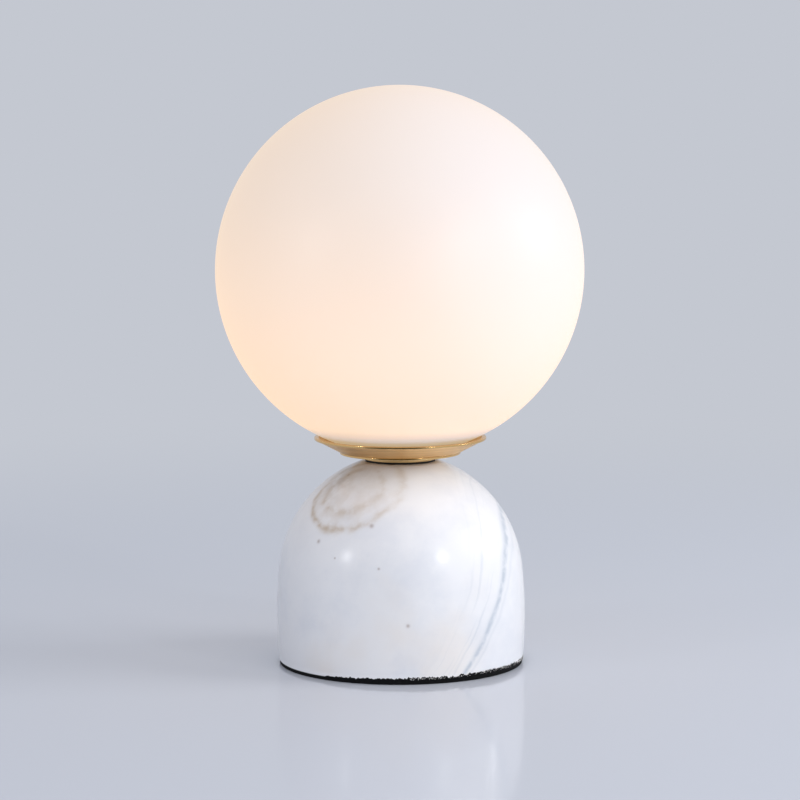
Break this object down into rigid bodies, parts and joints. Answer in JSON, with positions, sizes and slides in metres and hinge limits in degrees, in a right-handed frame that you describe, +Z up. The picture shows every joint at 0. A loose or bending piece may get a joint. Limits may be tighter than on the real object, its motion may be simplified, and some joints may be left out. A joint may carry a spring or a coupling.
{
  "type": "glass globe table lamp",
  "caption": "Globe table lamp: a lit opal glass ball that lifts out of a stepped brass gallery on a domed white marble base, over a pull-out pin bulb.",
  "frame": {"origin": "centre of the flat underside of the foot pad, where the lamp stands", "axes": "+Z up along the lamp's axis, -Y to the front, +Y to the cord's hole at the back"},
  "size_m": [0.15, 0.15, 0.2362],
  "materials": {
    "black_foam": "matt closed-cell foam",
    "white_marble": "polished, with faint grey veins and a warm stain",
    "white_nylon": "moulded, satin",
    "black_rubber": "matt",
    "zinc_steel": "bright zinc plate",
    "spring_steel": "bare spring steel",
    "satin_brass": "turned brass, brushed round, with polished edges",
    "clear_silicone": "translucent silicone",
    "opal_glass": "opal glass with an etched satin outside, lit from inside",
    "white_ceramic": "unglazed steatite",
    "mica_board": "pressed mica",
    "bright_brass": "stamped brass",
    "brown_lead": "brown insulation",
    "blue_lead": "blue insulation",
    "green_lead": "green and yellow insulation",
    "white_plastic": "moulded, heat resistant",
    "pin_steel": "tinned pins",
    "lamp_board": "white board with lamp chips",
    "clear_cover": "frosted clear cover"
  },
  "bodies": {
    "lamp": {"foot_pad": "black_foam", "marble_base": "white_marble", "cord_bushing": "white_nylon", "rubber_washer": "black_rubber", "stone_washer": "black_rubber", "steel_washer": "zinc_steel", "lock_washer": "zinc_steel", "rod_nut": "zinc_steel", "top_nut": "zinc_steel", "star_washer": "zinc_steel", "central_rod": "zinc_steel", "holder_bracket": "zinc_steel", "bracket_screws": "zinc_steel", "terminal_screws": "zinc_steel", "globe_spring": "spring_steel", "base_disc": "satin_brass", "globe_dish": "satin_brass", "glass_gasket": "clear_silicone", "holder_body": "white_ceramic", "holder_plate": "mica_board", "holder_contacts": "bright_brass", "earth_tag": "bright_brass", "terminal_block": "white_nylon", "lead_live": "brown_lead", "lead_neutral": "blue_lead", "lead_earth": "green_lead"},
    "globe": {"glass_globe": "opal_glass"},
    "bulb": {"bulb_base": "white_plastic", "bulb_pins": "pin_steel", "bulb_core": "lamp_board", "bulb_cover": "clear_cover"}
  },
  "joints": [
    {"name": "globe_lift", "type": "slide", "parent": "lamp", "child": "globe", "axis": [0, 0, 1], "range_m": [0, 0.1]},
    {"name": "bulb_pull", "type": "slide", "parent": "lamp", "child": "bulb", "axis": [0, 0, 1], "range_m": [0, 0.02]}
  ]
}
